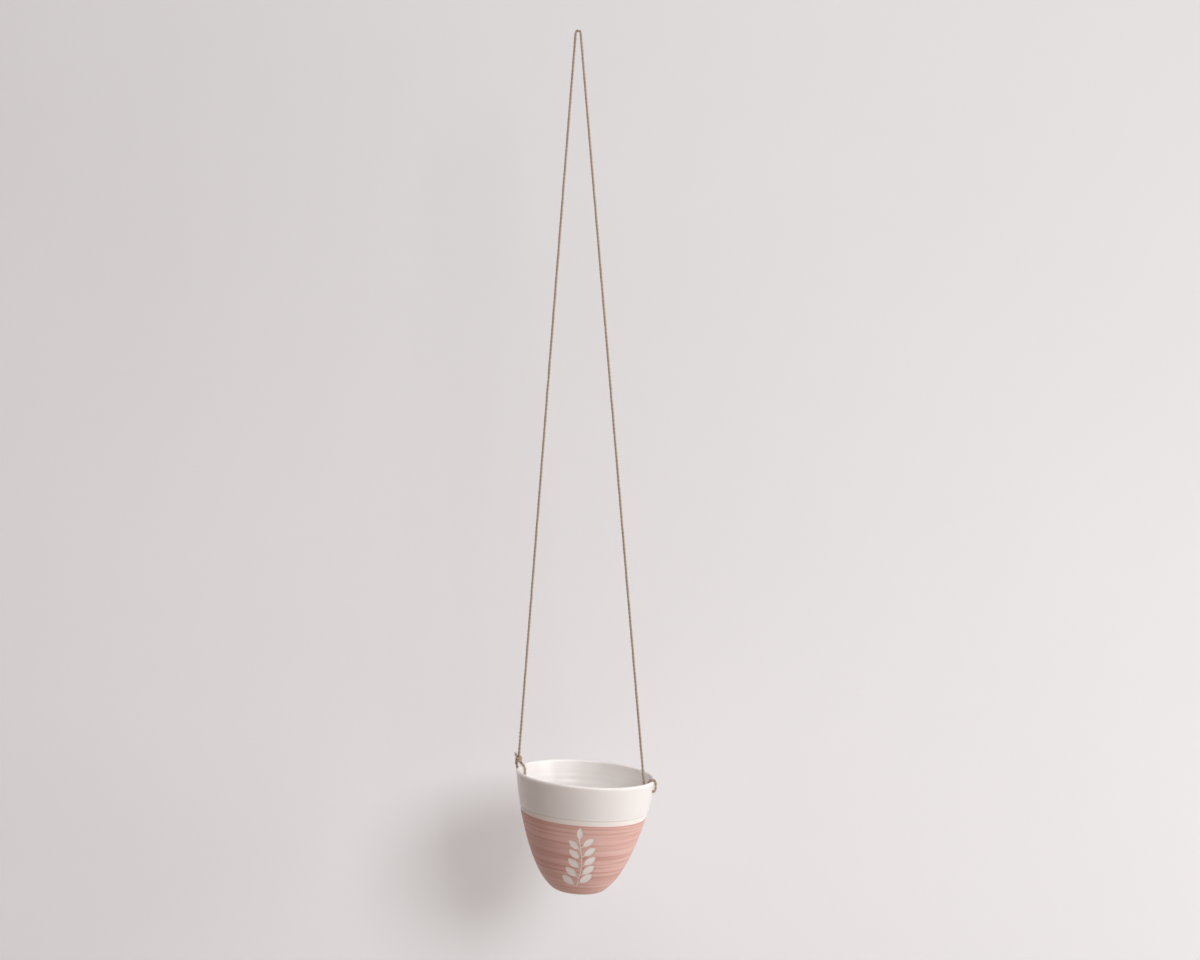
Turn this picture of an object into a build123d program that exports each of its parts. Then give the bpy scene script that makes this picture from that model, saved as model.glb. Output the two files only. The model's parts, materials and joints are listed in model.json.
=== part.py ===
from build123d import *
from math import acos, atan2, cos, degrees, hypot, pi, radians, sin
import os

# Hanging planter: a thrown porcelain cup on one length of twisted hemp cord.
# The cord goes over a hook, and each end is tied through a hole below the rim.
# Lengths are in millimetres and angles in degrees.
# The origin is the middle of the cord's bend, where the hook goes, and +Z is up.
# +Y points away from a person who looks at the sprig, and +X to their right.

# Cup
rim_radius = 56.0
cup_height = 92.9
foot_radius = 18.7
shoulder_power = 1.17  # how soon the wall turns inwards below the rim
belly_power = 0.37     # how full the wall is above the foot
wall_thickness = 3.0
floor_thickness = 4.2
floor_fillet = 6.0
foot_edge_fillet = 0.8
foot_ring_width = 4.0
foot_recess_depth = 1.0

# Coloured slip, brushed on the lower wall, with a sprig left bare
slip_top_depth = 31.1
slip_thickness = 0.4
slip_foot_margin = 1.6
slip_root = 1.0          # how far the slip's blank reaches into the wall before the cup is cut from it
sprig_top_margin = 1.0   # between the slip's upper edge and the tip of the sprig, at least
sprig_foot_margin = 7.3  # between the foot of the stem and the slip's lower edge
sprig_bend = 3.0
stem_width = 0.9
stalk_length = 2.4
leaf_spacing = 8.0       # along the stem, from pair to pair
leaf_length = 12.5
leaf_width = 6.2
leaf_angle = 50.0
leaf_stagger = 2.6       # how much higher the right leaf of a pair is
leaf_shrink = 0.2        # how much smaller the leaves at the tip are than those at the foot

# Cord
cord_diameter = 2.0
hook_diameter = 2.2
pivot_clearance = 0.3  # between a leg's end and its knot, where the cup rocks
strand_clearance = 0.25

# Holes and knots
hole_room = 0.7        # between the cord and its hole, all round
hole_play = 0.15       # between the pulled strand and the top of its hole
hole_depth = 8.2       # from the rim to the middle of the hole
knot_radius = 3.1
knot_half_height = 3.5
knot_end_radius = 1.6
knot_waist_radius = 2.5
knot_clearance = 0.3
left_knot_bearing = 62.0  # from level, outwards, as seen from the middle of the lip
left_strand_rise = 1.2    # the left strand comes over the lip from a higher knot
right_knot_drop = 6.8
right_knot_room = 0.6
tail_stub = 3.9        # a tail's length outside its knot
left_tail_angle = 116.0
right_tail_angle = 250.0

# How the cup hangs
rim_drop = 592.8       # from the hook to the middle of the rim
cup_tilt = 4.64        # the right side hangs lower
holes_turn = 14.0      # the right hole is turned towards the viewer

outline_steps = 11
tiny = 0.001

# Where the wall would close on the axis, had the foot not been cut flat
closing_depth = cup_height / (1 - (foot_radius / rim_radius) ** (1 / belly_power)) ** (1 / shoulder_power)

# The sprig has as many pairs of leaves as the slip has room for
slip_foot_depth = cup_height - slip_foot_margin
sprig_foot_depth = slip_foot_depth - sprig_foot_margin
top_leaf_reach = stalk_length - stem_width + leaf_length * (1 - leaf_shrink)
stem_room = sprig_foot_depth - slip_top_depth - sprig_top_margin - top_leaf_reach
leaf_pairs = int(stem_room / leaf_spacing)
sprig_length = leaf_pairs * leaf_spacing

cord_radius = cord_diameter / 2
bend_radius = (hook_diameter + cord_diameter) / 2
mouth_bend = 1.2 * cord_radius
lip_bend = 2.2 * cord_radius
lip_radius = wall_thickness / 2


def outer_radius(depth):
    share = depth / closing_depth
    return rim_radius * (1 - share ** shoulder_power) ** belly_power


def wall_point(depth, outwards):
    # A point at a distance outwards from the outer wall, square to it
    slope = (outer_radius(depth + tiny) - outer_radius(depth - tiny)) / (2 * tiny)
    length = hypot(1, slope)
    return outer_radius(depth) + outwards / length, -depth + outwards * slope / length


def wall_curve(first_depth, last_depth, outwards):
    # The steps get closer towards the foot, where the wall curves most
    points = []
    for step in range(outline_steps + 1):
        share = 1 - (1 - step / outline_steps) ** 2
        depth = first_depth + (last_depth - first_depth) * share
        points.append(wall_point(depth, outwards))
    return Spline(*points)


def turned(outline):
    return revolve(make_face(Plane.XZ * outline), axis=Axis.Z)


def make_cup():
    outside = wall_curve(lip_radius, cup_height, 0)
    inside = wall_curve(lip_radius, cup_height, -wall_thickness)
    lip = ThreePointArc(outside @ 0, (((outside @ 0 + inside @ 0) / 2).X, 0), inside @ 0)
    base = Line(outside @ 1, (0, (outside @ 1).Y))
    floor = Line(inside @ 1, (0, (inside @ 1).Y))
    top = Line((0, -lip_radius), inside @ 0)
    blank = turned(outside + base + Line(base @ 1, top @ 0) + top + lip)
    hollow = turned(inside + floor + Line(floor @ 1, top @ 0) + top)
    hollow -= Pos(0, 0, -cup_height) * Cylinder(rim_radius, 2 * floor_thickness)
    hollow = fillet(hollow.edges().sort_by(Axis.Z)[0], floor_fillet)
    recess_radius = foot_radius - foot_ring_width
    recess = Pos(0, 0, -cup_height) * Cylinder(recess_radius, 2 * foot_recess_depth)
    cup = blank - hollow
    cup = fillet(cup.edges().filter_by(GeomType.CIRCLE).sort_by(Axis.Z)[0], foot_edge_fillet)
    cup -= fillet(recess.edges().sort_by(Axis.Z)[-1], foot_recess_depth / 2)
    holes = Rot(0, 90, 0) * Cylinder(cord_radius + hole_room, 3 * rim_radius)
    return cup - Pos(0, 0, -hole_depth) * holes


def leaf(x, y, angle, size):
    # A pointed oval on a short stalk that starts at the given place
    length = size * leaf_length
    width = size * leaf_width
    tip = stalk_length + length
    outline = ThreePointArc((stalk_length, 0), (stalk_length + length / 2, width / 2), (tip, 0))
    outline += ThreePointArc((tip, 0), (stalk_length + length / 2, -width / 2), (stalk_length, 0))
    stalk = Pos((stalk_length + stem_width) / 2, 0) * Rectangle(stalk_length + stem_width, stem_width)
    return Pos(x, y) * Rot(0, 0, angle) * (make_face(outline) + stalk)


def stem_point(share):
    # From the foot of the stem, at 0, to its tip, at 1, in the plane of the drawing
    return sprig_bend * sin(pi * share) - sprig_bend / 2, sprig_length * share - sprig_foot_depth


def make_sprig():
    # A laurel sprig with leaves in pairs and one at the tip, drawn flat
    stem = [stem_point(step / leaf_pairs) for step in range(leaf_pairs + 1)]
    left = Spline(*[(x - stem_width / 2, y) for x, y in stem])
    right = Spline(*[(x + stem_width / 2, y) for x, y in stem])
    drawing = make_face(left + Line(left @ 1, right @ 1) + right + Line(right @ 0, left @ 0))
    for pair in range(leaf_pairs):
        share = pair / leaf_pairs
        size = 1 - leaf_shrink * share
        for side, rise in ((-1, 0), (1, leaf_stagger)):
            x, y = stem_point(share + rise / sprig_length)
            drawing += leaf(x, y, 90 - side * leaf_angle, size)
    x, y = stem_point(1)
    return drawing + leaf(x, y - stem_width, 90, 1 - leaf_shrink)


def make_slip(cup):
    outside = wall_curve(slip_top_depth, slip_foot_depth, slip_thickness)
    root = wall_curve(slip_top_depth, slip_foot_depth, -slip_root)
    slip = turned(outside + Line(outside @ 1, root @ 1) + root + Line(root @ 0, outside @ 0)) - cup
    easel = Rot(0, 0, holes_turn) * Plane.XZ.offset(rim_radius)
    return slip - extrude(easel * make_sprig(), -rim_radius)


def knot_place(side):
    # Middle of a knot in the cup's frame: the left one on the lip, the right one inside
    if side < 0:
        away = lip_radius + knot_clearance + hypot(knot_end_radius, knot_half_height)
        bearing = radians(left_knot_bearing)
        return -lip_middle - away * cos(bearing), away * sin(bearing) - lip_radius
    wall = outer_radius(right_knot_drop) - wall_thickness
    return wall - knot_radius - right_knot_room, -right_knot_drop


def hung(point):
    # A point of the cup's own XZ plane, in the plane that the cord hangs in
    x, z = point
    lean = radians(cup_tilt)
    return middle_shift + x * cos(lean) + z * sin(lean), -rim_drop - x * sin(lean) + z * cos(lean)


def hook_tangent(point, side):
    # Where a straight cord from the point meets the bend at the hook
    bearing = atan2(point[1], point[0]) + side * acos(bend_radius / hypot(*point))
    return bend_radius * cos(bearing), bend_radius * sin(bearing), degrees(bearing)


def flat(x, z):
    return Vector(x, 0, z)


def cord_along(path):
    section = Plane(origin=path @ 0, z_dir=path % 0) * Circle(cord_radius)
    return sweep(section, path=path)


def make_leg(side):
    x, z = hung(knot_place(side))
    top_x, top_z, _ = hook_tangent((x, z), side)
    top = flat(top_x, top_z)
    upwards = (top - flat(x, z)).normalized()
    end = flat(x, z) + upwards * (knot_half_height + pivot_clearance + cord_radius)
    leg = extrude(Plane(origin=end, z_dir=upwards) * Circle(cord_radius), (top - end).length)
    return leg + Pos(end) * Sphere(cord_radius), end, (top - end).length


def make_bight():
    right_angle = hook_tangent(hung(knot_place(1)), 1)[2]
    left_angle = hook_tangent(hung(knot_place(-1)), -1)[2] % 360
    arc = Plane.XZ * CenterArc((0, 0), bend_radius, right_angle, left_angle - right_angle)
    return cord_along(arc), arc.length


def make_knot(side):
    # A rounded knot of two turns, with its axis along the leg that it is tied to
    end = knot_half_height
    outline = Line((0, -end), (knot_end_radius, -end))
    outline += ThreePointArc((knot_end_radius, -end), (knot_radius, -end / 2), (knot_waist_radius, 0))
    outline += ThreePointArc((knot_waist_radius, 0), (knot_radius, end / 2), (knot_end_radius, end))
    outline += Polyline((knot_end_radius, end), (0, end), (0, -end))
    x, z = hung(knot_place(side))
    top_x, top_z, _ = hook_tangent((x, z), side)
    lean = degrees(atan2(top_x - x, top_z - z))
    return Pos(x, 0, z) * Rot(0, lean, 0) * turned(outline)


def make_rim_loop(side, knot):
    # The strand through the hole and over the lip, as far as the knot
    level = -hole_depth + hole_room - hole_play
    reach = cord_radius + strand_clearance
    inner = lip_middle - lip_radius - reach
    outer = lip_middle + lip_radius + reach
    mouth = outer_radius(-level) - wall_thickness - reach
    knot_x, knot_z = knot_place(side)
    middle = (abs(knot_x), knot_z)
    if side < 0:
        points = [middle, (inner, reach + left_strand_rise), (mouth, level), (outer, level), (outer, knot_z)]
        radii = [lip_bend, mouth_bend, mouth_bend]
    else:
        points = [middle, (inner, reach), (outer, reach), (outer, level), (middle[0], level)]
        radii = [lip_bend, lip_bend, mouth_bend]
    path = FilletPolyline(*[flat(*hung((side * x, z))) for x, z in points], radius=radii)
    return cord_along(path) - knot, path.length


def make_tail(side, knot, angle):
    x, z = hung(knot_place(side))
    middle = flat(x, z)
    along = flat(cos(radians(angle)), sin(radians(angle)))
    tail = extrude(Plane(origin=middle, z_dir=along) * Circle(cord_radius), knot_radius + tail_stub)
    return tail - knot


lip_middle = outer_radius(lip_radius) - lip_radius
cup = make_cup()
slip_band = make_slip(cup)
fired = [cup, slip_band]
mass_depth = -sum(p.volume * p.center(CenterOf.MASS).Z for p in fired) / sum(p.volume for p in fired)
middle_shift = mass_depth * sin(radians(cup_tilt))   # brings the weight under the hook

hanging = Pos(middle_shift, 0, -rim_drop) * Rot(0, cup_tilt, 0)
left_knot = make_knot(-1)
right_knot = make_knot(1)
left_leg, left_pivot, left_length = make_leg(-1)
right_leg, right_pivot, right_length = make_leg(1)
bight, bight_length = make_bight()
left_loop, left_loop_length = make_rim_loop(-1, left_knot)
right_loop, right_loop_length = make_rim_loop(1, right_knot)

pieces = {
    "cup": hanging * cup,
    "slip_band": hanging * slip_band,
    "cord_bight": bight,
    "cord_left_leg": left_leg,
    "cord_right_leg": right_leg,
    "left_knot": left_knot,
    "right_knot": right_knot,
    "left_rim_loop": left_loop,
    "right_rim_loop": right_loop,
    "left_tail": make_tail(-1, left_knot, left_tail_angle),
    "right_tail": make_tail(1, right_knot, right_tail_angle),
}

os.makedirs("parts", exist_ok=True)
facing = Rot(0, 0, -holes_turn)
for name, piece in pieces.items():
    export_step(facing * piece, "parts/" + name + ".step")

print("bend radius at the hook", bend_radius, "and at the holes", mouth_bend, "and over the lip", lip_bend)
print("cord lengths", round(left_length, 1), round(right_length, 1), round(bight_length, 1))
print("rim loop lengths", round(left_loop_length, 1), round(right_loop_length, 1))
print("pairs of leaves", leaf_pairs)
print("closing depth", closing_depth, "and depth of the weight", round(mass_depth, 2))
print("left pivot", facing * Pos(left_pivot))
print("right pivot", facing * Pos(right_pivot))
print("middle of the rim", facing * Pos(middle_shift, 0, -rim_drop))
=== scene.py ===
import json
from math import atan2, cos, hypot, pi, radians, sin
from random import Random

import bmesh
import bpy
from mathutils import Matrix, Vector, noise


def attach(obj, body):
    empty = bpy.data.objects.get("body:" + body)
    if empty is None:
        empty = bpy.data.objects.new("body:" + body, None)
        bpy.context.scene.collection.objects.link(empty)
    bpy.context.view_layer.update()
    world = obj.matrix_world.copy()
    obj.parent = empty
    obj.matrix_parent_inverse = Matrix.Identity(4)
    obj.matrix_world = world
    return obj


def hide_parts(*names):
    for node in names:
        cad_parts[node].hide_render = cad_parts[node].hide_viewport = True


# Hanging planter: a thrown porcelain cup with brushed slip, on one length of hemp twine.
# Metres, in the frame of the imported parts: the hook is at the origin and +Z is up.

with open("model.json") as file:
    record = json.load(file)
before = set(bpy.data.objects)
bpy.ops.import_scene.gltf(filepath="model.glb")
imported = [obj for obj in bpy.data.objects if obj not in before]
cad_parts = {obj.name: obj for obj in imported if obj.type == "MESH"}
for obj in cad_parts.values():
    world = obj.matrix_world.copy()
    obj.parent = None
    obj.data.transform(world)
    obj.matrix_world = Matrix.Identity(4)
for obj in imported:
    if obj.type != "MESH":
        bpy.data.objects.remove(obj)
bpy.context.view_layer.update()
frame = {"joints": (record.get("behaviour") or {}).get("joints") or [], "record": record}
scene = bpy.context.scene
print("frame loaded")


# Camera, level with the middle of the cord

cameraSetup = {
    "place": (0.0157, -1.322, -0.358),
    "roll": radians(0.28),
    "lens": 49.5,
}


def addCamera():
    data = bpy.data.cameras.new("photoCamera")
    data.lens = cameraSetup["lens"]
    data.clip_start = 0.01
    camera = bpy.data.objects.new("photoCamera", data)
    roll = cameraSetup["roll"]
    right = Vector((cos(roll), 0, -sin(roll)))
    up = Vector((sin(roll), 0, cos(roll)))
    back = right.cross(up)
    turn = Matrix((right, up, back)).transposed().to_4x4()
    camera.matrix_world = Matrix.Translation(cameraSetup["place"]) @ turn
    scene.collection.objects.link(camera)
    scene.camera = camera


addCamera()
print("camera set")


# Materials

def srgb(code):
    channels = [int(code[i:i + 2], 16) / 255 for i in (1, 3, 5)]
    return (*[c / 12.92 if c < 0.04045 else ((c + 0.055) / 1.055) ** 2.4 for c in channels], 1)


def addNode(tree, kind, settings, links={}):
    # a setting is the node's own, or the value of a socket by its name or number
    node = tree.nodes.new(kind)
    for name, value in settings.items():
        if isinstance(name, str) and hasattr(node, name):
            setattr(node, name, value)
        else:
            node.inputs[name].default_value = value
    for name, socket in links.items():
        tree.links.new(socket, node.inputs[name])
    return node


def newMaterial(name):
    material = bpy.data.materials.new(name)
    material.use_nodes = True
    tree = material.node_tree
    return material, tree, tree.nodes["Principled BSDF"]


def blendColours(tree, share, low, high):
    # two colours or colour sockets, mixed by a socket
    mix = addNode(tree, "ShaderNodeMix", {"data_type": "RGBA"}, {0: share})
    for number, colour in ((6, low), (7, high)):
        if isinstance(colour, str):
            mix.inputs[number].default_value = srgb(colour)
        else:
            tree.links.new(colour, mix.inputs[number])
    return mix.outputs[2]


def calculate(tree, operation, first, second, third=0.0):
    values = {0: first, 1: second, 2: third}
    numbers = {k: v for k, v in values.items() if isinstance(v, (int, float))}
    sockets = {k: v for k, v in values.items() if k not in numbers}
    return addNode(tree, "ShaderNodeMath", {"operation": operation, **numbers}, sockets).outputs[0]


def spread(tree, socket, low, high, newLow=0.0, newHigh=1.0):
    # brings a range of values to another one, with a soft start and end
    settings = {"interpolation_type": "SMOOTHSTEP", 1: low, 2: high, 3: newLow, 4: newHigh}
    return addNode(tree, "ShaderNodeMapRange", settings, {0: socket}).outputs[0]


# How the cup hangs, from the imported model's foot and joints

cup = {
    "rimRadius": 0.056,
    "height": 0.0929,
    "footRadius": 0.0187,
    "shoulderPower": 1.17,
    "bellyPower": 0.37,
    "wall": 0.003,
    "floor": 0.0042,
    "floorRound": 0.006,
    "footRound": 0.0008,
    "recessRound": 0.0005,
    "footRing": 0.004,
    "recess": 0.001,
    "footMountRadius": 0.0163,
    "holeDepth": 0.0082,
    "holeRadius": 0.0017,
    "holeRound": 0.0006,
    "glazeEdge": 0.0268,       # depth at which the clear glaze ends
    "glaze": 0.00016,
    "glazeBead": 0.00012,      # the glaze rolls up a little at its edge
    "ringSpacing": 0.0052,     # the potter's fingers climb this much a turn
    "ringHeight": 0.00010,
    "unevenness": 0.00012,
    "around": 224,
}
closingDepth = cup["height"] / (
    1 - (cup["footRadius"] / cup["rimRadius"]) ** (1 / cup["bellyPower"])) ** (1 / cup["shoulderPower"])

mounts = {mount["name"]: mount for mount in frame["record"]["mounts"]}
joints = {joint["name"]: joint for joint in frame["joints"]}
cordNormal = Vector(joints["side_swing"]["axis"]).normalized()
cupUp = -Vector(mounts["foot"]["axis"]).normalized()
cupRight = cordNormal.cross(cupUp)
rimMiddle = (Vector(mounts["foot"]["pos_m"]) + cup["footMountRadius"] * cordNormal
             + cup["height"] * cupUp)
cupPlace = Matrix.Translation(rimMiddle) @ Matrix((cupRight, cordNormal, cupUp)).transposed().to_4x4()
holesTurn = atan2(cordNormal.x, cordNormal.y)
cordRight = Vector((cordNormal.y, -cordNormal.x, 0))   # to the right, in the plane of the cord


def cupCoordinates(tree):
    # Object coordinates, turned so that Z runs up the cup's own axis from the middle of its rim
    where = addNode(tree, "ShaderNodeTexCoord", {})
    settings = {"vector_type": "TEXTURE", "Location": rimMiddle, "Rotation": cupPlace.to_euler()}
    place = addNode(tree, "ShaderNodeMapping", settings, {"Vector": where.outputs["Object"]})
    return place.outputs[0]


def scaled(tree, vector, across, along):
    settings = {"vector_type": "POINT", "Scale": (across, across, along)}
    return addNode(tree, "ShaderNodeMapping", settings, {"Vector": vector}).outputs[0]


def speckle(tree, vector, scale, detail=3.0, roughness=0.55):
    settings = {"Scale": scale, "Detail": detail, "Roughness": roughness}
    return addNode(tree, "ShaderNodeTexNoise", settings, {"Vector": vector}).outputs[0]


porcelainColours = {
    "glazeThin": "#e9e6e4",
    "glazeThick": "#f0eeed",
    "clayDark": "#ece8e3",
    "clayLight": "#f6f3ef",
    # painted shade, just under the glaze's rolled edge
    "edge": "#c9c3bd",
}


def makePorcelain():
    # Porcelain, thrown, under a satin clear glaze above the slip and inside: milky and softly bright.
    # The strip under the glaze, the foot and the sprig are fired clay, bare, chalky and duller.
    material, tree, shader = newMaterial("thrown porcelain in satin clear glaze")
    coords = cupCoordinates(tree)
    parts = addNode(tree, "ShaderNodeSeparateXYZ", {}, {0: coords})
    radius = calculate(tree, "SQRT", calculate(
        tree, "MULTIPLY_ADD", parts.outputs[0], parts.outputs[0],
        calculate(tree, "MULTIPLY", parts.outputs[1], parts.outputs[1])), 0.0)
    # the outer wall's radius at this height, less half a wall, parts the outside from the inside
    share = calculate(tree, "DIVIDE", parts.outputs[2], -closingDepth)
    shoulder = calculate(tree, "POWER", calculate(tree, "MAXIMUM", share, 0.0001), cup["shoulderPower"])
    middle = calculate(tree, "POWER", calculate(
        tree, "MAXIMUM", calculate(tree, "SUBTRACT", 1.0, shoulder), 0.0), cup["bellyPower"])
    depthInWall = calculate(tree, "MULTIPLY_ADD", middle, -cup["rimRadius"], radius)
    outside = spread(tree, depthInWall, -0.0024, -0.0016)
    below = spread(tree, parts.outputs[2], -cup["glazeEdge"] - 0.00015, -cup["glazeEdge"] + 0.00025, 1.0, 0.0)
    ring = spread(tree, parts.outputs[2], -cup["height"], -cup["height"] + 0.0028, 1.0, 0.0)
    bare = calculate(tree, "MAXIMUM", calculate(tree, "MULTIPLY", outside, below), ring)
    # painted shade: the bare clay is darkened just under the glaze's rolled edge, as the bead's shadow
    edge = calculate(tree, "MULTIPLY", outside, calculate(
        tree, "MULTIPLY", below, spread(tree, parts.outputs[2], -cup["glazeEdge"] - 0.0011,
                                        -cup["glazeEdge"] - 0.0002, 0.0, 0.42)))
    clouds = speckle(tree, coords, 38.0, 2.0)
    grain = speckle(tree, coords, 1900.0, 2.0)          # half a millimetre, the finest that shows
    wipes = speckle(tree, scaled(tree, coords, 14.0, 420.0), 1.0, 4.0)
    milk = blendColours(tree, clouds, porcelainColours["glazeThin"], porcelainColours["glazeThick"])
    clay = blendColours(tree, wipes, porcelainColours["clayDark"], porcelainColours["clayLight"])
    coloured = blendColours(tree, bare, milk, clay)
    coloured = blendColours(tree, edge, coloured, porcelainColours["edge"])
    tree.links.new(coloured, shader.inputs["Base Color"])
    tree.links.new(spread(tree, calculate(tree, "MULTIPLY_ADD", clouds, 0.14, bare), 0.0, 1.0, 0.26, 0.68),
                   shader.inputs["Roughness"])
    height = calculate(tree, "ADD", calculate(tree, "MULTIPLY", grain, bare),
                       calculate(tree, "MULTIPLY", clouds, 0.6))
    bump = addNode(tree, "ShaderNodeBump", {"Strength": 0.25, "Distance": 0.00006}, {"Height": height})
    tree.links.new(bump.outputs[0], shader.inputs["Normal"])
    shader.inputs["IOR"].default_value = 1.5
    shader.inputs["Subsurface Weight"].default_value = 0.12
    shader.inputs["Subsurface Radius"].default_value = (1.0, 0.7, 0.5)
    shader.inputs["Subsurface Scale"].default_value = 0.0015
    return material


slipColours = {
    "deep": "#c58f83",
    "body": "#d5a79c",
    "thin": "#e1bdb4",
    "edge": "#bb8173",
}


def makeSlip():
    # Coloured slip, brushed on while the cup turned: matt, with streaks that run round and thin patches
    material, tree, shader = newMaterial("coral slip brushed on porcelain")
    coords = cupCoordinates(tree)
    height = addNode(tree, "ShaderNodeSeparateXYZ", {}, {0: coords}).outputs[2]
    bands = speckle(tree, scaled(tree, coords, 7.0, 400.0), 1.0, 3.0, 0.6)     # bands of 1 to 3 mm
    hairs = speckle(tree, scaled(tree, coords, 22.0, 1500.0), 1.0, 3.0, 0.6)   # the brush's hairs, 0.5 mm
    clouds = speckle(tree, coords, 30.0, 2.0)
    grain = speckle(tree, coords, 2200.0, 2.0)
    thin = spread(tree, calculate(tree, "MULTIPLY_ADD", hairs, 0.35, calculate(
        tree, "MULTIPLY_ADD", clouds, 0.25, bands)), 0.62, 1.05)
    deep = spread(tree, calculate(tree, "MULTIPLY_ADD", hairs, 0.3, bands), 0.72, 0.46)
    colour = blendColours(tree, thin, slipColours["body"], slipColours["thin"])
    colour = blendColours(tree, calculate(tree, "MULTIPLY", deep, 0.6), colour, slipColours["deep"])
    brim = spread(tree, height, -slip["top"] - 0.0016, -slip["top"] - 0.0002, 0.0, 0.55)
    colour = blendColours(tree, brim, colour, slipColours["edge"])
    tree.links.new(colour, shader.inputs["Base Color"])
    tree.links.new(spread(tree, bands, 0.3, 0.7, 0.5, 0.66), shader.inputs["Roughness"])
    relief = calculate(tree, "MULTIPLY_ADD", grain, 0.35, hairs)
    bump = addNode(tree, "ShaderNodeBump", {"Strength": 0.35, "Distance": 0.00008}, {"Height": relief})
    tree.links.new(bump.outputs[0], shader.inputs["Normal"])
    shader.inputs["IOR"].default_value = 1.5
    return material


hempColours = {
    "dark": "#7b6857",
    "body": "#b3a08b",
    "light": "#e0d4c4",
}


def makeHemp(name, dark, body, light):
    # Hemp twine, two-ply and waxed smooth: long fibres along each ply, straw to brown
    material, tree, shader = newMaterial(name)
    uv = addNode(tree, "ShaderNodeTexCoord", {}).outputs["UV"]
    parts = addNode(tree, "ShaderNodeSeparateXYZ", {}, {0: uv})
    around = calculate(tree, "MULTIPLY", parts.outputs[0], 2 * pi)
    along = parts.outputs[1]
    angle = calculate(tree, "MULTIPLY_ADD", along, 900.0, around)      # the fibres' own twist in a ply
    fibres = addNode(tree, "ShaderNodeCombineXYZ", {}, {
        0: calculate(tree, "MULTIPLY", calculate(tree, "COSINE", angle, 0.0), 1.4),
        1: calculate(tree, "MULTIPLY", calculate(tree, "SINE", angle, 0.0), 1.4),
        2: calculate(tree, "MULTIPLY", along, 160.0)}).outputs[0]
    strands = speckle(tree, fibres, 2.4, 4.0, 0.65)
    patches = speckle(tree, addNode(tree, "ShaderNodeCombineXYZ", {}, {2: along}).outputs[0], 75.0, 2.0)
    tone = calculate(tree, "MULTIPLY_ADD", patches, 0.5, strands)
    colour = blendColours(tree, spread(tree, tone, 0.56, 0.8), dark, body)
    colour = blendColours(tree, spread(tree, tone, 0.78, 0.98), colour, light)
    tree.links.new(colour, shader.inputs["Base Color"])
    bump = addNode(tree, "ShaderNodeBump", {"Strength": 0.6, "Distance": 0.0001}, {"Height": strands})
    tree.links.new(bump.outputs[0], shader.inputs["Normal"])
    shader.inputs["Roughness"].default_value = 0.72
    shader.inputs["IOR"].default_value = 1.5
    shader.inputs["Sheen Weight"].default_value = 0.15
    shader.inputs["Sheen Roughness"].default_value = 0.5
    return material


# Twine

twine = {
    "diameter": 0.002,
    "plyRadius": 0.00060,
    "plyOffset": 0.00048,
    "lay": 0.0064,            # one full turn of the two plies
    "step": 0.0005,
    "sides": 2,               # bevel resolution, for eight sides
    "slubs": 0.13,            # how much a ply's thickness varies
    "wander": 0.00013,        # how far the cord leaves its line
    "taper": 0.0008,
    "routeSteps": 48,
    "overlap": 0.0007,        # how far the cord and a knot run into each other where the cup can rock
    "fibreRadius": 0.000028,
    "fibreLength": 0.0022,
    "fibreBends": 5,
    "fibresAMetre": 330,
    "frayed": 22,             # loose fibres at a cut end
}


def readRoute(points):
    # the places along a smooth cord whose control points these are
    curve = bpy.data.curves.new("route", "CURVE")
    curve.dimensions = "3D"
    spline = curve.splines.new("NURBS")
    spline.points.add(len(points) - 1)
    for place, point in zip(spline.points, points):
        place.co = (*point, 1)
    spline.order_u = 3
    spline.use_endpoint_u = True
    spline.resolution_u = twine["routeSteps"]
    holder = bpy.data.objects.new("route", curve)
    scene.collection.objects.link(holder)
    depsgraph = bpy.context.evaluated_depsgraph_get()
    mesh = bpy.data.meshes.new_from_object(holder.evaluated_get(depsgraph))
    places = [vertex.co.copy() for vertex in mesh.vertices]
    bpy.data.objects.remove(holder)
    bpy.data.meshes.remove(mesh)
    return places


def lengthOf(places):
    return sum((after - before).length for before, after in zip(places, places[1:]))


def walk(places, step):
    # the same line, stepped evenly
    steps = [places[0]]
    left = step
    for start, end in zip(places, places[1:]):
        gap = (end - start).length
        done = 0.0
        while gap - done >= left:
            done += left
            steps.append(start.lerp(end, done / gap))
            left = step
        left -= gap - done
    if (places[-1] - steps[-1]).length < step / 2:
        steps.pop()
    steps.append(places[-1])
    return steps


def plyLines(steps, side, turn, seed):
    # two lines that twist about the cord's line, each point with its ply's thickness
    lines = [[], []]
    for number, place in enumerate(steps):
        before = steps[max(number - 1, 0)]
        after = steps[min(number + 1, len(steps) - 1)]
        forward = (after - before).normalized()
        side = (side - forward * side.dot(forward)).normalized()
        up = forward.cross(side)
        if number:
            turn += 2 * pi * (place - before).length / twine["lay"]
        far = number * twine["step"]
        drift = Vector((noise.noise((far * 90, seed, 1)), noise.noise((far * 90, seed, 5)), 0))
        middle = place + twine["wander"] * (side * drift.x + up * drift.y)
        for ply, line in enumerate(lines):
            angle = turn + ply * pi + 0.35 * noise.noise((far * 55, seed, 9))
            slub = 1 + twine["slubs"] * noise.noise((far * 130, seed + 3 * ply, 20))
            slub += 0.05 * noise.noise((far * 900, seed + 3 * ply, 40))
            offset = twine["plyOffset"] * slub
            line.append((middle + offset * (side * cos(angle) + up * sin(angle)), slub))
    return lines, side, turn


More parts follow.
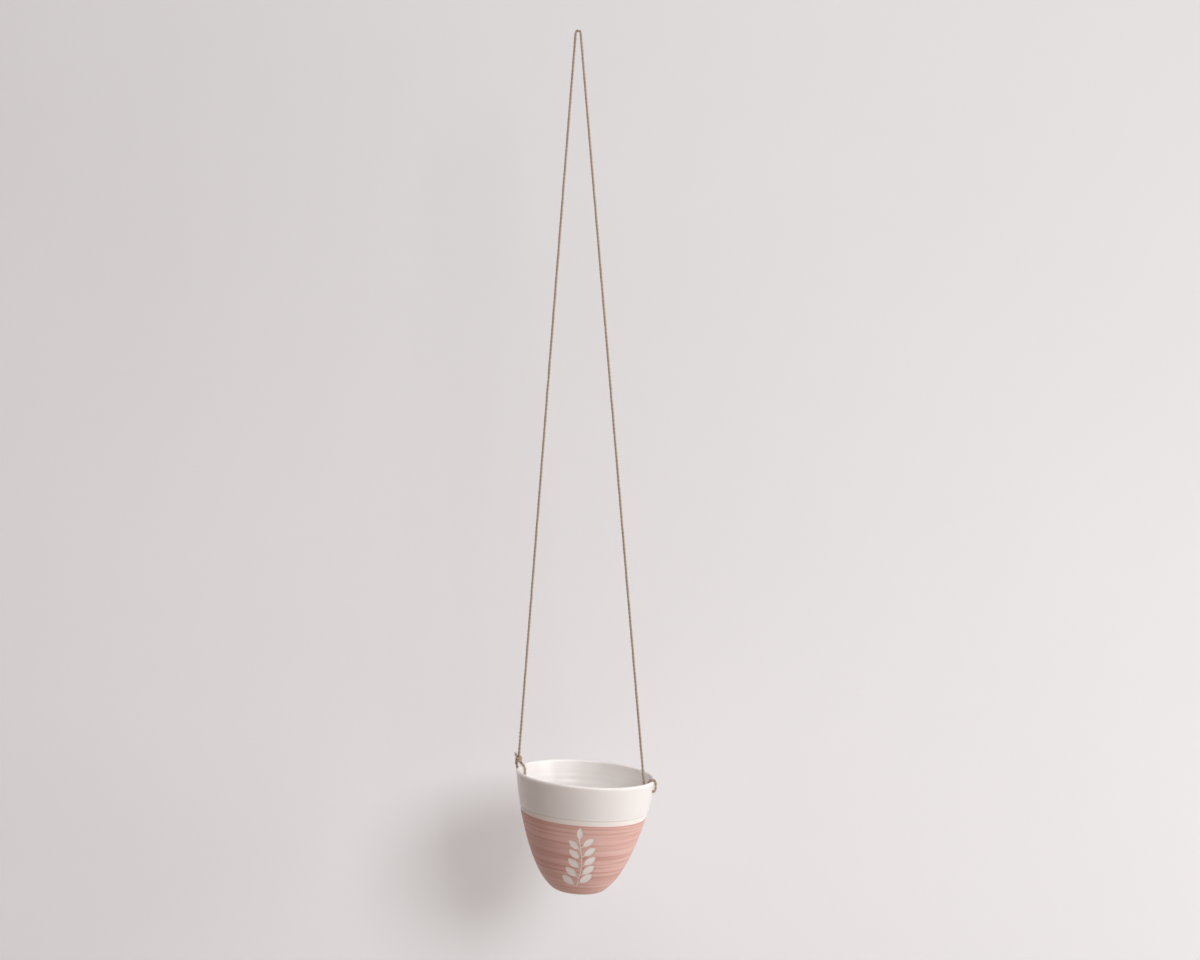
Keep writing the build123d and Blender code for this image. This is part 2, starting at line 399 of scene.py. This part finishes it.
def strayFibres(steps, ends, seed):
    # thin curved hairs that stand off the cord, and a small brush of them at each cut end
    chance = Random(seed)
    starts = [chance.randrange(len(steps) - 1) for _ in range(round(lengthOf(steps) * twine["fibresAMetre"]))]
    tips = [0] * twine["frayed"] * ends[0] + [len(steps) - 1] * twine["frayed"] * ends[1]
    lines = []
    for number in starts + tips:
        isTip = number in (0, len(steps) - 1)
        forward = (steps[min(number + 1, len(steps) - 1)] - steps[max(number - 1, 0)]).normalized()
        if number == 0:
            forward = -forward
        around = Vector((chance.gauss(0, 1), chance.gauss(0, 1), chance.gauss(0, 1)))
        outwards = (around - forward * around.dot(forward)).normalized()
        lean = chance.uniform(-1, 1)
        if isTip:
            lean = chance.uniform(1.2, 4)
        heading = (forward * lean + outwards * chance.uniform(0.4, 1)).normalized()
        bend = forward.cross(outwards) * chance.uniform(-0.7, 0.7) - outwards * chance.uniform(0.1, 0.6)
        place = steps[number] + outwards * 0.3 * twine["diameter"]
        pace = twine["fibreLength"] * chance.uniform(0.3, 1) / twine["fibreBends"]
        line = []
        for bent in range(twine["fibreBends"] + 1):
            line.append((place, 1 - 0.12 * bent))
            place = place + heading * pace
            heading = (heading + bend * 0.2).normalized()
        lines.append(line)
    return lines


def tubes(name, lines, radius, sides):
    # a mesh of round tubes, one along each line of points and thicknesses
    curve = bpy.data.curves.new(name, "CURVE")
    curve.dimensions = "3D"
    curve.bevel_depth = radius
    curve.bevel_resolution = sides
    curve.use_fill_caps = True
    for line in lines:
        spline = curve.splines.new("POLY")
        spline.points.add(len(line) - 1)
        spline.points.foreach_set("co", [value for point, _ in line for value in (*point, 1)])
        spline.points.foreach_set("radius", [thickness for _, thickness in line])
    holder = bpy.data.objects.new(name, curve)
    scene.collection.objects.link(holder)
    depsgraph = bpy.context.evaluated_depsgraph_get()
    mesh = bpy.data.meshes.new_from_object(holder.evaluated_get(depsgraph))
    bpy.data.objects.remove(holder)
    mesh.name = name
    mesh.shade_smooth()
    return mesh


def addPiece(name, mesh, material, body, slot, *nodes):
    piece = bpy.data.objects.new(name, mesh)
    scene.collection.objects.link(piece)
    mesh.materials.clear()
    mesh.materials.append(material)
    if nodes:
        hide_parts(*nodes)
    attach(piece, body)
    return piece


def addTwine(name, places, side, turn, seed, body, *nodes, ends=(True, True)):
    steps = walk(places, twine["step"])
    lines, side, turn = plyLines(steps, side, turn, seed)
    last = len(steps) - 1
    for line in lines:
        for number, (point, thickness) in enumerate(line):
            reach = min(number if ends[0] else last, last - number if ends[1] else last) * twine["step"]
            line[number] = (point, thickness * (0.72 + 0.28 * min(1, reach / twine["taper"])))
    mesh = tubes(name, lines, twine["plyRadius"], twine["sides"])
    hairs = tubes(name + "Hairs", strayFibres(steps, ends, seed), twine["fibreRadius"], 0)
    # the UV map in metres along the ply, so that every piece has the same fibres
    for part, length in ((mesh, lengthOf(steps)), (hairs, twine["fibreLength"])):
        for loop in part.uv_layers[0].data:
            loop.uv.y *= length
    bm = bmesh.new()
    bm.from_mesh(mesh)
    bm.from_mesh(hairs)
    bmesh.ops.remove_doubles(bm, verts=bm.verts, dist=0.0000002)
    bm.to_mesh(mesh)
    bm.free()
    bpy.data.meshes.remove(hairs)
    mesh.shade_smooth()
    return addPiece(name, mesh, hemp, body, "hemp_cord", *nodes), side, turn


def inCordPlane(points):
    return [x * cordRight + Vector((0, 0, z)) for x, z in points]


hemp = makeHemp("hemp twine, two-ply", hempColours["dark"], hempColours["body"], hempColours["light"])

# The free cord, from the left knot up and over the hook to the right knot: across and up, in its own plane
cordRoute = inCordPlane([
    (-0.05245, -0.57993),
    (-0.00313, -0.01177),
    (-0.00216, -0.00064),
    (-0.00202, 0.00100),
    (-0.00081, 0.00210),
    (0.00082, 0.00210),
    (0.00203, 0.00099),
    (0.00216, -0.00065),
    (0.00307, -0.01179),
    (0.05093, -0.59871),
])
cordPlaces = readRoute(cordRoute)
freeCord, rightSide, rightTurn = addTwine(
    "hangingCord", cordPlaces, cordNormal, 0.0, 1.0, "sling",
    "cord_bight", "cord_left_leg", "cord_right_leg", ends=(False, False))
print("cord", round(lengthOf(cordPlaces), 4), "m long")


# Knots: the cord goes through its hole and over the lip, then twice round itself, and its end sticks out.
# The points are across and up in the cup's own frame, from the middle of its rim.

knots = {
    "turnRadius": 0.00200,
    "turnRise": 0.0021,
    "pointsATurn": 8,
}


def wraps(middle, first, turns, rise):
    # control points of turns round an upright core; a smooth cord cuts inside them by the last share
    count = round(turns * knots["pointsATurn"])
    x, z = middle
    reach = knots["turnRadius"] / 0.925
    points = []
    for number in range(count + 1):
        turned = number / knots["pointsATurn"]
        angle = first + 2 * pi * turned
        points.append((x + reach * cos(angle), reach * sin(angle), z + rise * turned))
    return points


leftRoute = [
    (-0.05697, 0, 0.0090),
    (-0.05700, 0, 0.0070),
    (-0.05690, 0, 0.0044),
    (-0.05560, 0, 0.0024),
    (-0.05310, 0, 0.0013),
    (-0.05130, 0, -0.0010),
    (-0.05070, 0, -0.0048),
    (-0.05080, 0, -0.0081),
    (-0.05380, 0, -0.0081),
    (-0.05690, 0, -0.0080),
    (-0.05740, 0, -0.0045),
    (-0.05760, -0.0001, -0.0012),
    (-0.05860, -0.0003, 0.0012),
    *wraps((-0.0570, 0.0029), pi, 2.125, knots["turnRise"]),
    (-0.05950, 0.0003, 0.0078),
    (-0.05990, 0.0001, 0.0090),
]

rightRoute = [
    (0.04762, 0, -0.0013),
    (0.04794, 0, -0.0033),
    (0.04850, 0, -0.0072),
    (0.04890, 0, -0.0096),
    (0.05090, 0, -0.0096),
    (0.05230, 0, -0.0081),
    (0.05450, 0, -0.0080),
    (0.05690, 0, -0.0078),
    (0.05740, 0, -0.0048),
    (0.05710, 0, -0.0004),
    (0.05600, 0, 0.0012),
    (0.05300, 0, 0.0012),
    (0.05170, 0, -0.0004),
    (0.05105, -0.0002, -0.0028),
    *wraps((0.0484, -0.0046), 0.0, 2.125, -knots["turnRise"]),
    (0.04780, 0.0016, -0.0104),
    (0.04610, 0.0008, -0.0132),
]


def onCup(points):
    return [cupPlace @ Vector(point) for point in points]


def joined(places, towards):
    # a knot's line, started a little way back along the free cord
    start = places[0] + (towards - places[0]).normalized() * twine["overlap"]
    return [start] + places


overlapTurn = 2 * pi * twine["overlap"] / twine["lay"]
leftPlaces = joined(readRoute(onCup(leftRoute)), cordRoute[1])
rightPlaces = joined(readRoute(onCup(rightRoute)), cordRoute[-2])
leftLoop, _, _ = addTwine("leftKnot", leftPlaces, cordNormal, -overlapTurn, 7.0, "cup",
                          "left_knot", "left_rim_loop", "left_tail", ends=(False, True))
rightLoop, _, _ = addTwine("rightKnot", rightPlaces, rightSide, rightTurn - overlapTurn, 13.0, "cup",
                           "right_knot", "right_rim_loop", "right_tail", ends=(False, True))
walk(cordPlaces, 0.001)
print("knots tied")


# Cup

tiny = 0.000001


def outerRadius(depth):
    return cup["rimRadius"] * (1 - (depth / closingDepth) ** cup["shoulderPower"]) ** cup["bellyPower"]


def wallPoint(depth, outwards=0.0):
    slope = (outerRadius(depth + tiny) - outerRadius(depth - tiny)) / (2 * tiny)
    length = hypot(1, slope)
    return Vector((outerRadius(depth) + outwards / length, 0, -depth + outwards * slope / length))


def corner(start, bend, end, steps=6):
    # a round corner, without its two ends
    shares = [step / steps for step in range(1, steps)]
    return [start.lerp(bend, s).lerp(bend.lerp(end, s), s) for s in shares]


def graded(first, last, count):
    # closer together towards the last
    return [first + (last - first) * (1 - (1 - step / count) ** 1.5) for step in range(count + 1)]


def glazeAt(depth):
    below = (cup["glazeEdge"] - depth) / 0.0004
    if below <= 0:
        return 0.0
    bead = cup["glazeBead"] * max(0.0, 1 - abs(below - 1.5) / 2.5)
    return min(1.0, below) ** 0.5 * (cup["glaze"] + bead)


def cupOutline():
    lip = cup["wall"] / 2
    floor = -cup["height"] + cup["floor"]
    ceiling = -cup["height"] + cup["recess"]
    ringInside = cup["footRadius"] - cup["footRing"]
    fine = [cup["glazeEdge"] - 0.0016 + 0.0001 * step for step in range(20)]
    depths = sorted(graded(lip, cup["height"] - 0.0006, 116) + fine)
    outside = [wallPoint(depth, glazeAt(depth)) for depth in depths]
    bottom = -cup["height"]
    edge = cup["recessRound"]
    foot = [Vector((cup["footRadius"] - cup["footRound"], 0, bottom)), Vector((ringInside + edge, 0, bottom))]
    under = [Vector((ringInside, 0, bottom + edge)), Vector((ringInside - 1.2 * edge, 0, ceiling))]
    inside = [wallPoint(depth, -cup["wall"]) for depth in graded(lip, cup["height"], 110)]
    inside = [point for point in inside if point.z > floor + 0.72 * cup["floorRound"]]
    heading = (inside[-1] - inside[-2]).normalized()
    turning = inside[-1] + heading * (inside[-1].z - floor) / -heading.z
    level = Vector((turning.x - 0.8 * cup["floorRound"], 0, floor))
    top = outside[0].lerp(inside[0], 0.5)
    half = (outside[0] - inside[0]).length / 2
    rim = [top + half * Vector((cos(pi * step / 14), 0, sin(pi * step / 14))) for step in range(1, 14)]
    outline = [Vector((0, 0, ceiling))]
    outline += [Vector((ringInside * share, 0, ceiling)) for share in (0.3, 0.6, 0.85)]
    outline += [under[1]] + corner(under[1], Vector((ringInside, 0, ceiling)), under[0]) + [under[0]]
    outline += corner(under[0], Vector((ringInside, 0, bottom)), foot[1]) + [foot[1]]
    outline += [foot[1].lerp(foot[0], 0.5), foot[0]]
    outline += corner(foot[0], Vector((cup["footRadius"], 0, bottom)), outside[-1])
    outline += outside[::-1] + rim + inside
    outline += corner(inside[-1], turning, level, 12) + [level]
    outline += [Vector((level.x * share, 0, floor)) for share in (0.8, 0.6, 0.4, 0.2, 0.0)]
    return outline


def spun(outline, closed, around):
    # turns an outline about the cup's axis
    bm = bmesh.new()
    vertices = [bm.verts.new(point) for point in outline]
    edges = [bm.edges.new(pair) for pair in zip(vertices, vertices[1:])]
    if closed:
        edges.append(bm.edges.new((vertices[-1], vertices[0])))
    bmesh.ops.spin(bm, geom=vertices + edges, cent=(0, 0, 0), axis=(0, 0, 1), dvec=(0, 0, 0),
                   angle=2 * pi, steps=around, use_merge=True, use_duplicate=False)
    bmesh.ops.remove_doubles(bm, verts=bm.verts, dist=0.000002)
    bmesh.ops.recalc_face_normals(bm, faces=bm.faces)
    return bm


def swell(x, y, z):
    # the small unevenness of a thrown wall, the same for the cup and what lies on it
    return cup["unevenness"] * noise.noise((x * 28, y * 28, z * 45))


def throwingRing(angle, depth):
    turns = depth / cup["ringSpacing"] + angle / (2 * pi)
    soft = 0.6 + 0.4 * noise.noise((cos(angle) * 1.5, sin(angle) * 1.5, turns * 0.4))
    return cup["ringHeight"] * soft * sin(2 * pi * turns)


def shapeWall(bm):
    for vertex in bm.verts:
        x, y, z = vertex.co
        radius = hypot(x, y)
        if radius < 0.01:
            continue
        grow = swell(x, y, z)
        isInside = radius < outerRadius(max(-z, tiny)) - 0.6 * cup["wall"]
        if isInside and -z > 0.004:
            grow += throwingRing(atan2(y, x), -z) * min(1, (-z - 0.004) / 0.008)
        vertex.co.x += x / radius * grow
        vertex.co.y += y / radius * grow


def meshFrom(bm, name, place=None):
    if place:
        bmesh.ops.transform(bm, matrix=place, verts=bm.verts)
    mesh = bpy.data.meshes.new(name)
    bm.to_mesh(mesh)
    bm.free()
    mesh.shade_smooth()
    return mesh


def cutAway(mesh, cutter, name, solver="MANIFOLD"):
    # the mesh less the cutter's; the exact solver also joins what overlaps in the mesh itself
    body = bpy.data.objects.new(name, mesh)
    tool = bpy.data.objects.new("cutter", cutter)
    for item in (body, tool):
        scene.collection.objects.link(item)
    cut = body.modifiers.new("cut", "BOOLEAN")
    cut.operation = "DIFFERENCE"
    cut.solver = solver
    cut.use_self = solver == "EXACT"
    cut.object = tool
    depsgraph = bpy.context.evaluated_depsgraph_get()
    result = bpy.data.meshes.new_from_object(body.evaluated_get(depsgraph))
    for item in (body, tool):
        bpy.data.objects.remove(item)
    bpy.data.meshes.remove(cutter)
    result.name = name
    result.set_sharp_from_angle(angle=radians(35))
    return result


def holeCutter():
    # a drill for both holes, flared where it meets each face of the wall
    drill = cup["holeRadius"]
    rounding = cup["holeRound"]
    outer = outerRadius(cup["holeDepth"]) + cup["glaze"]
    inner = outer - cup["wall"] - cup["glaze"]
    drillStart = 0.03                 # well inside the cup
    half = [(drillStart, drill + 3 * rounding), (inner - rounding, drill + 3 * rounding)]
    for middle, first, last in ((inner + rounding, 180, 270), (outer - rounding, 270, 360)):
        angles = [radians(first + (last - first) * step / 6) for step in range(7)]
        half += [(middle + rounding * cos(a), drill + rounding + rounding * sin(a)) for a in angles]
    half += [(outer + rounding, drill + 3 * rounding), (outer + 4 * rounding, drill + 3 * rounding)]
    bm = bmesh.new()
    for way in (1, -1):
        start = way * drillStart
        points = [Vector((start, 0, 0)), Vector((start, 0, half[0][1]))]
        points += [Vector((way * x, 0, radius)) for x, radius in half[1:]]
        points.append(Vector((points[-1].x, 0, 0)))
        vertices = [bm.verts.new(point) for point in points]
        edges = [bm.edges.new(pair) for pair in zip(vertices, vertices[1:])]
        bmesh.ops.spin(bm, geom=vertices + edges, cent=(0, 0, 0), axis=(1, 0, 0), dvec=(0, 0, 0),
                       angle=2 * pi, steps=32, use_merge=True, use_duplicate=False)
    bmesh.ops.remove_doubles(bm, verts=bm.verts, dist=0.000002)
    bmesh.ops.recalc_face_normals(bm, faces=bm.faces)
    bmesh.ops.translate(bm, vec=(0, 0, -cup["holeDepth"]), verts=bm.verts)
    return meshFrom(bm, "drill", cupPlace)


porcelain = makePorcelain()
cupShape = spun(cupOutline(), False, cup["around"])
shapeWall(cupShape)
cupMesh = cutAway(meshFrom(cupShape, "thrownCup", cupPlace), holeCutter(), "thrownCup")
addPiece("thrownCup", cupMesh, porcelain, "cup", "glazed_porcelain", "cup")
print("cup thrown,", len(cupMesh.polygons), "faces")


# Slip and sprig

slip = {
    "top": 0.0311,
    "footMargin": 0.0016,
    "thickness": 0.00034,
    "root": 0.0003,           # how far the slip reaches into the wall, so that no gap shows
    "streak": 0.00003,
    "around": 256,
}
sprig = {
    "footMargin": 0.0073,
    "bend": 0.003,
    "stemWidth": 0.0009,
    "stalk": 0.0024,
    "pairs": 5,
    "spacing": 0.008,
    "leafLength": 0.0125,
    "leafWidth": 0.0062,
    "angle": radians(50),
    "stagger": 0.0026,
    "shrink": 0.2,
}


def slipBody():
    last = cup["height"] - slip["footMargin"]
    depths = graded(slip["top"] + 0.0004, last - 0.0003, 116)
    outside = [wallPoint(depth, slip["thickness"]) for depth in depths]
    brim = [wallPoint(slip["top"] + 0.0004 * (1 - cos(a)), slip["thickness"] * sin(a))
            for a in (0.0, 0.4, 0.8, 1.2)]
    hem = [wallPoint(last - 0.0003 * (1 - cos(a)), slip["thickness"] * sin(a)) for a in (1.2, 0.8, 0.4, 0.0)]
    root = [wallPoint(depth, -slip["root"]) for depth in graded(slip["top"], last, 24)]
    bm = spun(brim + outside + hem + root[::-1], True, slip["around"])
    for vertex in bm.verts:
        x, y, z = vertex.co
        radius = hypot(x, y)
        proud = radius - outerRadius(-z)
        grow = swell(x, y, z)
        if proud > 0.5 * slip["thickness"]:
            grow += slip["streak"] * noise.noise((x * 20, y * 20, z * 1100))
            grow += slip["streak"] * noise.noise((x * 12, y * 12, z * 300))
        vertex.co.x += x / radius * grow
        vertex.co.y += y / radius * grow
    return meshFrom(bm, "slipBand", cupPlace)


def stemPlace(share):
    # from the foot of the stem, at 0, to its tip, at 1
    foot = -(cup["height"] - slip["footMargin"] - sprig["footMargin"])
    length = sprig["pairs"] * sprig["spacing"]
    return sprig["bend"] * sin(pi * share) - sprig["bend"] / 2, foot + length * share


def addBlade(bm, outline, where, angle):
    # a flat shape, turned, put on the stem and made as deep as the wall's curve needs
    turn = Matrix.Rotation(angle, 2)
    points = [Vector(where) + turn @ Vector(point) for point in outline]
    face = bm.faces.new([bm.verts.new((x, -cup["rimRadius"], z)) for x, z in points])
    made = bmesh.ops.extrude_face_region(bm, geom=[face])["geom"]
    bmesh.ops.translate(bm, vec=(0, cup["rimRadius"], 0),
                        verts=[v for v in made if isinstance(v, bmesh.types.BMVert)])


def leafOutline(size):
    # a pointed oval between two arcs, from the end of its stalk
    length = sprig["leafLength"] * size
    half = sprig["leafWidth"] * size / 2
    bow = (length ** 2 / 4 - half ** 2) / (2 * half)     # from the middle line to an arc's centre
    arcRadius = bow + half
    reach = atan2(length / 2, bow)
    shares = [1 - step / 7 for step in range(15)]
    upper = [(sprig["stalk"] + length / 2 + arcRadius * sin(reach * -s), arcRadius * cos(reach * s) - bow)
             for s in shares]
    return upper + [(x, -z) for x, z in upper[-2:0:-1]]


def sprigCutter():
    bm = bmesh.new()
    half = sprig["stemWidth"] / 2
    shares = [step / 20 for step in range(21)]
    stem = [stemPlace(share) for share in shares]
    addBlade(bm, [(x - half, z) for x, z in stem] + [(x + half, z) for x, z in reversed(stem)], (0, 0), 0)
    stalk = [(0, -half), (sprig["stalk"] + 2 * half, -half), (sprig["stalk"] + 2 * half, half), (0, half)]
    length = sprig["pairs"] * sprig["spacing"]
    leaves = []
    for pair in range(sprig["pairs"]):
        share = pair / sprig["pairs"]
        for side, rise in ((-1, 0.0), (1, sprig["stagger"])):
            angle = pi / 2 - side * sprig["angle"]
            leaves.append((stemPlace(share + rise / length), angle, 1 - sprig["shrink"] * share))
    x, z = stemPlace(1)
    leaves.append(((x, z - sprig["stemWidth"]), pi / 2, 1 - sprig["shrink"]))
    for where, angle, size in leaves:
        addBlade(bm, leafOutline(size), where, angle)
        addBlade(bm, stalk, where, angle)
    bmesh.ops.recalc_face_normals(bm, faces=bm.faces)
    drawn = meshFrom(bm, "sprig", cupPlace @ Matrix.Rotation(holesTurn, 4, "Z"))
    bm = bmesh.new()
    bmesh.ops.create_cube(bm, size=sprig["stemWidth"])     # far from the sprig, it cuts nothing
    return cutAway(drawn, meshFrom(bm, "speck"), "sprig", "EXACT")


slipPaint = makeSlip()
slipMesh = cutAway(slipBody(), sprigCutter(), "brushedSlip")
addPiece("brushedSlip", slipMesh, slipPaint, "cup", "coloured_slip", "slip_band")
print("slip brushed,", len(slipMesh.polygons), "faces")


# Stage: a pale plastered wall behind, with a floor and a door at the left that only give back light

stage = {
    "wallPlace": 0.145,       # clear of the cup in every pose
    "wallSize": 12.0,
    "wall": "#e9eaec",
    # painted shade: the wall's colour towards the ceiling
    "wallShadeAbove": "#cfcfd1",
    "wallGlow": 0.14,         # light that a white room sends back
    "doorPlace": (-0.64, -0.78, -0.5),
    "doorSize": 1.6,
    "door": "#5f4130",
    "floorPlace": (0, -1.4, -1.05),
    "floorSize": 3.0,
    "floor": "#c4bfbb",
    "lit": (0, 0, -0.5),      # where the lights point
}


def showThrough(tree, shader, share):
    # where the share is one, nothing is there
    clear = addNode(tree, "ShaderNodeBsdfTransparent", {}).outputs[0]
    either = addNode(tree, "ShaderNodeMixShader", {}, {0: share, 1: shader.outputs[0], 2: clear})
    tree.links.new(either.outputs[0], tree.nodes["Material Output"].inputs["Surface"])


def makePlaster():
    # Painted plaster, matt and a little cloudy; darker towards the ceiling, which is painted shade; from
    # behind it isn't there
    material, tree, shader = newMaterial("painted plaster wall")
    coords = addNode(tree, "ShaderNodeTexCoord", {}).outputs["Object"]
    height = addNode(tree, "ShaderNodeSeparateXYZ", {}, {0: coords}).outputs[2]
    shade = speckle(tree, coords, 3.0, 3.0)
    # painted shade: the wall's colour darkens towards the ceiling, where less light falls
    shadeAbove = calculate(tree, "MULTIPLY_ADD", shade, 0.2, spread(tree, height, -0.75, 0.25, 0.0, 0.9))
    paint = blendColours(tree, shadeAbove, stage["wall"], stage["wallShadeAbove"])
    tree.links.new(paint, shader.inputs["Base Color"])
    shader.inputs["Roughness"].default_value = 0.9
    shader.inputs["Emission Color"].default_value = srgb("#f6f8ff")
    shader.inputs["Emission Strength"].default_value = stage["wallGlow"]
    showThrough(tree, shader, addNode(tree, "ShaderNodeNewGeometry", {}).outputs["Backfacing"])
    return material


def makeUnseen(name, colour):
    # What stands about the room shades the cup and tints it, but isn't seen and casts no shadow
    material, tree, shader = newMaterial(name)
    shader.inputs["Base Color"].default_value = srgb(colour)
    shader.inputs["Roughness"].default_value = 0.6
    rays = addNode(tree, "ShaderNodeLightPath", {})
    showThrough(tree, shader, calculate(
        tree, "MAXIMUM", rays.outputs["Is Camera Ray"], rays.outputs["Is Shadow Ray"]))
    return material


def addStage(name, size, place, turn, axis, material):
    bm = bmesh.new()
    bmesh.ops.create_grid(bm, x_segments=1, y_segments=1, size=size / 2)
    upright = Matrix.Translation(place) @ Matrix.Rotation(turn, 4, axis)
    item = bpy.data.objects.new(name, meshFrom(bm, name, upright))
    item.data.materials.append(material)
    scene.collection.objects.link(item)


lights = {
    "window": {"place": (1.85, -2.85, 0.87), "size": 1.35, "power": 61, "colour": "#fffdfd"},
    "side": {"place": (3.0, -0.5, -0.1), "size": 1.4, "power": 44, "colour": "#fffefd"},
    "ceiling": {"place": (-0.1, -0.7, 1.3), "size": 1.2, "power": 11, "colour": "#fdfeff"},
}


def addLight(name, place, size, power, colour):
    data = bpy.data.lights.new(name, "AREA")
    data.shape = "SQUARE"
    data.size = size
    data.energy = power
    data.color = srgb(colour)[:3]
    lamp = bpy.data.objects.new(name, data)
    lamp.location = place
    lamp.rotation_euler = (Vector(stage["lit"]) - Vector(place)).to_track_quat("-Z", "Y").to_euler()
    scene.collection.objects.link(lamp)


def addWorld():
    world = bpy.data.worlds.new("room")
    world.use_nodes = True
    tree = world.node_tree
    tree.nodes.clear()
    rays = addNode(tree, "ShaderNodeLightPath", {})
    seen = calculate(tree, "MAXIMUM", rays.outputs["Is Camera Ray"], calculate(
        tree, "MAXIMUM", rays.outputs["Is Glossy Ray"], rays.outputs["Is Transmission Ray"]))
    dim = addNode(tree, "ShaderNodeBackground", {"Color": srgb("#ffd7bc"), "Strength": 0.14})
    pale = addNode(tree, "ShaderNodeBackground", {"Color": srgb("#e0dcda"), "Strength": 1.0})
    either = addNode(tree, "ShaderNodeMixShader", {}, {0: seen, 1: dim.outputs[0], 2: pale.outputs[0]})
    addNode(tree, "ShaderNodeOutputWorld", {}, {"Surface": either.outputs[0]})
    scene.world = world


doorWood = makeUnseen("stained wooden door", stage["door"])
floorWood = makeUnseen("pale wooden floor", stage["floor"])
addStage("wall", stage["wallSize"], (0, stage["wallPlace"], 0), pi / 2, "X", makePlaster())
addStage("door", stage["doorSize"], stage["doorPlace"], pi / 2, "Y", doorWood)
addStage("floor", stage["floorSize"], stage["floorPlace"], 0, "X", floorWood)
for lightName, light in lights.items():
    addLight(lightName, **light)
addWorld()
scene.view_settings.view_transform = "Standard"
print("stage and lights set")
